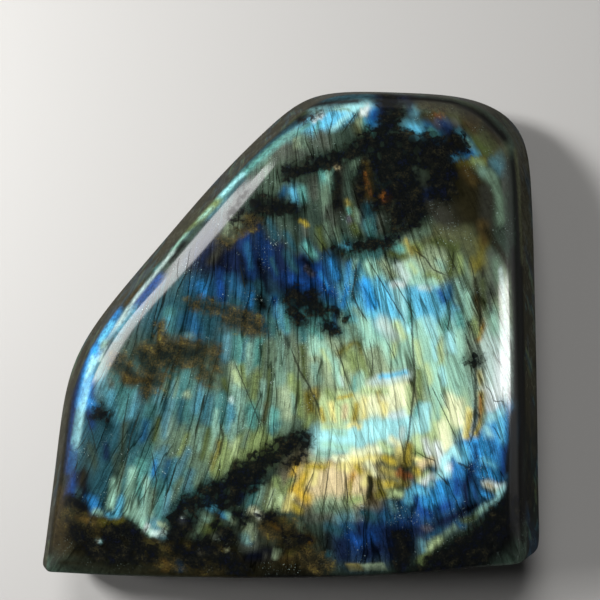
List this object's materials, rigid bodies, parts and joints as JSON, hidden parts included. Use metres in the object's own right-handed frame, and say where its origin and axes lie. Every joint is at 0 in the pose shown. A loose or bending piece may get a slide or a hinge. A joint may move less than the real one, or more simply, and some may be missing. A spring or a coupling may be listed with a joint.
{
  "type": "labradorite freeform",
  "caption": "Hand-sized polished stone slab with a domed face, rounded edges, a long slanting side and one edge sawn flat.",
  "frame": {"origin": "centre of the bounding box in plan, at the level of the ground back the stone lies on", "axes": "+Z out of the polished face, +X along the sawn foot, the foot faces -Y"},
  "size_m": [0.131, 0.1222, 0.0357],
  "materials": {
    "stone": "polished"
  },
  "bodies": {
    "root": {"stone": "stone"}
  },
  "joints": []
}
